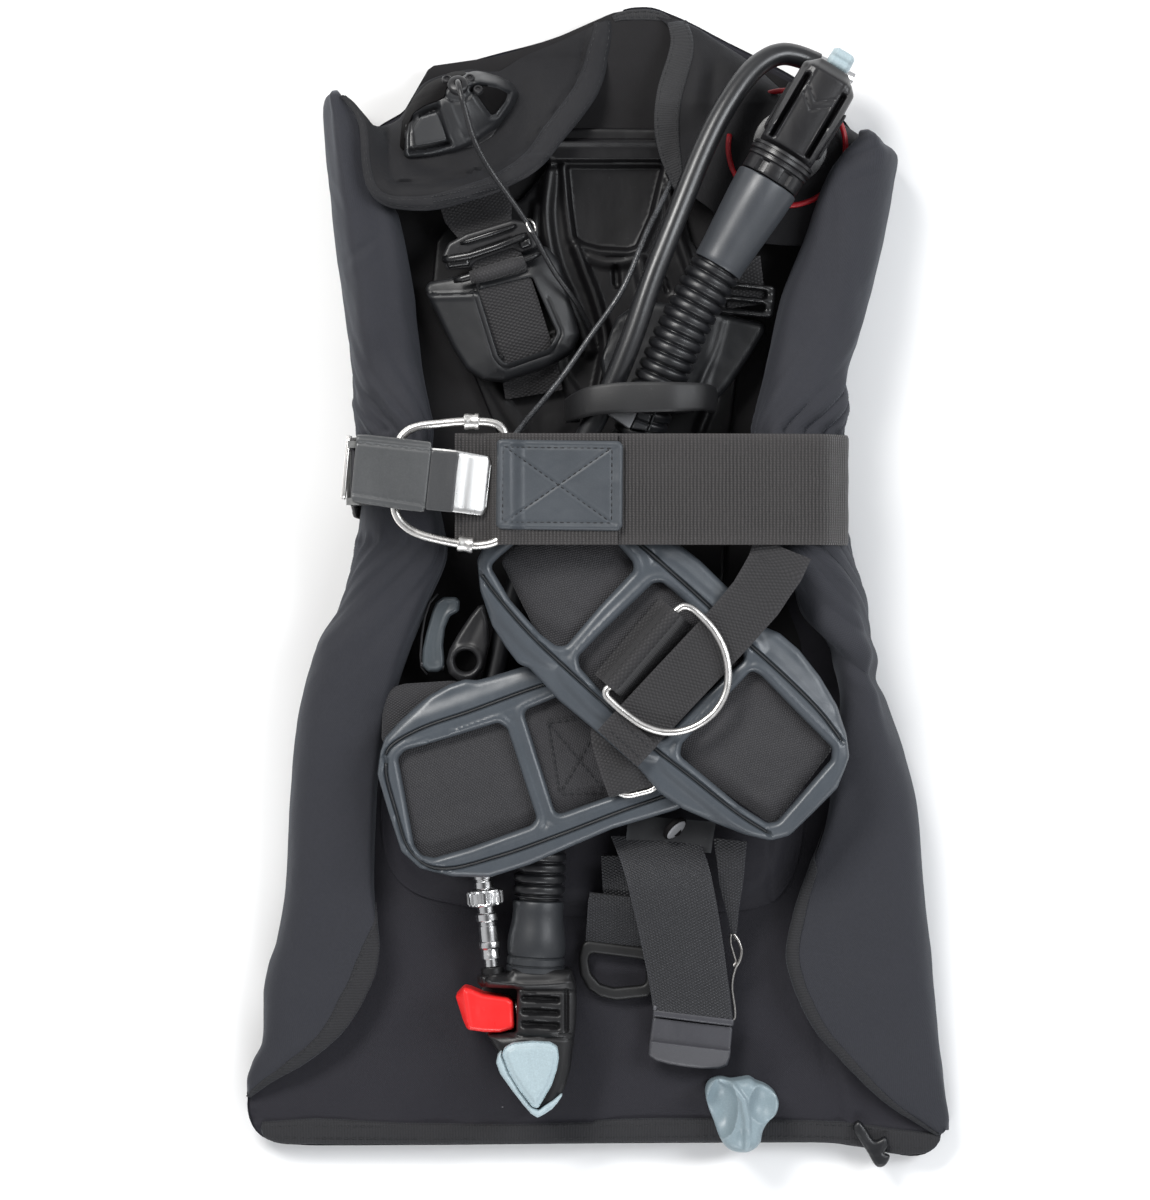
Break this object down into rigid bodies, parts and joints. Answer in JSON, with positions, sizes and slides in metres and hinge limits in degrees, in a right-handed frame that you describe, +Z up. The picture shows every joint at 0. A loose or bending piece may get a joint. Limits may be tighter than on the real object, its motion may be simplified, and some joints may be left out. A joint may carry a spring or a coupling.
{
  "type": "buoyancy compensator",
  "caption": "Diver's back-inflation buoyancy vest folded flat and cinched by its tank band, with inflator hose, buckles, D-rings and dump valves.",
  "frame": {"origin": "centre of the base of the folded bundle, on the surface that it lies on, measured without the free hoses and cords", "axes": "+Z up, +Y towards the collar, +X towards the side with the shoulder elbow"},
  "size_m": [0.3266, 0.541, 0.0852],
  "materials": {
    "outer_fabric": "coated heavy nylon, fine plain weave, low sheen",
    "lining_fabric": "smooth dark lining cloth, matte",
    "binding_fabric": "ribbed edge binding, matte",
    "bladder_film": "translucent grey film",
    "webbing": "black polyester webbing with fine cross ribs",
    "strap_fabric": "dark grey flat strap, tight weave",
    "gloss_elastomer": "moulded black elastomer, glossy",
    "satin_elastomer": "moulded dark grey elastomer, satin",
    "hose_rubber": "black rubber, smooth, semi-gloss",
    "black_plastic": "injection moulded black plastic, fine spark texture",
    "patch_rubber": "black rubber patch, matte, sewn on",
    "grey_silicone": "pale blue-grey moulded plastic, satin",
    "red_plastic": "bright red moulded plastic, satin gloss",
    "red_rubber": "deep red rubber cord ring",
    "stainless": "polished stainless steel, faint brushing",
    "lever_paint": "dark grey paint, satin",
    "dark_alloy": "dark anodised alloy, satin",
    "plated_brass": "nickel-chrome plated brass",
    "spring_steel": "drawn spring wire",
    "pull_cord": "thin black braided cord"
  },
  "bodies": {
    "root": {"air_bladder": "bladder_film", "back_plate": "gloss_elastomer", "band_patch": "patch_rubber", "belt_buckle_frame": "dark_alloy", "belt_slider": "black_plastic", "belt_webbing": "webbing", "bottom_hem": "binding_fabric", "cam_band": "webbing", "cam_buckle_frame": "stainless", "centre_cord": "pull_cord", "collar_left_lobe": "outer_fabric", "collar_right_lobe": "outer_fabric", "corrugated_hose": "hose_rubber", "coupling_body": "plated_brass", "crossing_strap": "webbing", "deflate_spring": "spring_steel", "dump_cord": "pull_cord", "dump_pull_spring": "spring_steel", "dump_spring": "spring_steel", "dump_valve_base": "black_plastic", "dump_valve_cap": "black_plastic", "hinge_pins": "stainless", "hose_cuffs": "hose_rubber", "hose_end_fitting": "plated_brass", "hose_keeper_strap": "strap_fabric", "inflate_spring": "spring_steel", "inflator_body": "black_plastic", "left_shoulder_pad": "gloss_elastomer", "left_waist_pad": "satin_elastomer", "lp_hose": "hose_rubber", "lumbar_pad": "satin_elastomer", "mouthpiece_lip": "grey_silicone", "rear_dump_knob": "grey_silicone", "red_ring": "red_rubber", "right_ladder_buckle": "black_plastic", "right_shoulder_pad": "gloss_elastomer", "right_waist_pad": "satin_elastomer", "shoulder_elbow": "black_plastic", "shoulder_webbing": "webbing", "side_buckle": "black_plastic", "side_pull_tab": "hose_rubber", "snap_hardware": "stainless", "waist_webbing": "webbing", "wing_back_panel": "outer_fabric", "wing_front_panel": "lining_fabric", "wing_left_flap": "outer_fabric", "wing_right_flap": "outer_fabric"},
    "inflate_button": {"inflate_button": "red_plastic"},
    "deflate_button": {"deflate_button": "grey_silicone"},
    "dump_pull_knob": {"dump_pull_knob": "grey_silicone"},
    "dump_poppet": {"dump_poppet": "grey_silicone"},
    "cam_lever": {"cam_lever": "stainless", "cam_lever_cover": "lever_paint"},
    "wire_bail": {"wire_bail": "stainless"},
    "large_d_ring": {"large_d_ring": "stainless"},
    "small_d_ring": {"small_d_ring": "stainless"},
    "left_ladder_buckle": {"left_ladder_buckle": "black_plastic"},
    "release_lever": {"release_lever": "grey_silicone"},
    "coupling_collar": {"coupling_collar": "plated_brass"},
    "belt_buckle_lever": {"belt_buckle_lever": "dark_alloy"}
  },
  "joints": [
    {"name": "inflate_press", "type": "slide", "parent": "root", "child": "inflate_button", "axis": [1, 0, 0], "range_m": [0, 0.003], "stiffness_N_per_m": 300, "springref_m": -0.002, "deforming": ["inflate_spring"]},
    {"name": "deflate_press", "type": "slide", "parent": "root", "child": "deflate_button", "axis": [0, 0, -1], "range_m": [0, 0.003], "stiffness_N_per_m": 300, "springref_m": -0.002, "deforming": ["deflate_spring"]},
    {"name": "pull_dump_slide", "type": "slide", "parent": "root", "child": "dump_pull_knob", "axis": [0.5151, 0.8571, 0], "range_m": [0, 0.004], "stiffness_N_per_m": 300, "springref_m": -0.002, "deforming": ["dump_pull_spring"]},
    {"name": "dump_poppet_lift", "type": "slide", "parent": "root", "child": "dump_poppet", "axis": [0, 0.4942, 0.8693], "range_m": [0, 0.004], "stiffness_N_per_m": 200, "springref_m": -0.002, "deforming": ["dump_spring"]},
    {"name": "coupling_collar_slide", "type": "slide", "parent": "root", "child": "coupling_collar", "axis": [-0.0984, 0.9952, 0], "range_m": [0, 0.003], "stiffness_N_per_m": 400, "springref_m": -0.002},
    {"name": "cam_lever_hinge", "type": "hinge", "parent": "root", "child": "cam_lever", "pos_m": [-0.10959, 0.04483, 0.0798], "axis": [0, -1, 0], "range_deg": [0, 140]},
    {"name": "bail_hinge", "type": "hinge", "parent": "root", "child": "wire_bail", "pos_m": [-0.04116, 0.04483, 0.0786], "axis": [0, 1, 0], "range_deg": [0, 21]},
    {"name": "large_d_ring_hinge", "type": "hinge", "parent": "root", "child": "large_d_ring", "pos_m": [0.02153, -0.02814, 0.0722], "axis": [-0.6508, -0.7593, 0], "range_deg": [0, 150]},
    {"name": "small_d_ring_hinge", "type": "hinge", "parent": "root", "child": "small_d_ring", "pos_m": [0.01489, -0.0776, 0.0565], "axis": [-0.9707, -0.2402, 0], "range_deg": [0, 3]},
    {"name": "ladder_buckle_tilt", "type": "hinge", "parent": "root", "child": "left_ladder_buckle", "pos_m": [-0.04407, 0.15006, 0.036], "axis": [0.989, 0.1478, 0], "range_deg": [0, 12]},
    {"name": "release_lever_hinge", "type": "hinge", "parent": "root", "child": "release_lever", "pos_m": [-0.0754, -0.03606, 0.0363], "axis": [0.9894, -0.1455, 0], "range_deg": [0, 60]},
    {"name": "belt_buckle_hinge", "type": "hinge", "parent": "root", "child": "belt_buckle_lever", "pos_m": [0.04506, -0.20648, 0.0196], "axis": [-0.9928, 0.12, 0], "range_deg": [0, 100]}
  ],
  "couplings": [
    {"joint": "bail_hinge", "follows": "cam_lever_hinge", "ratio": 0.15}
  ]
}
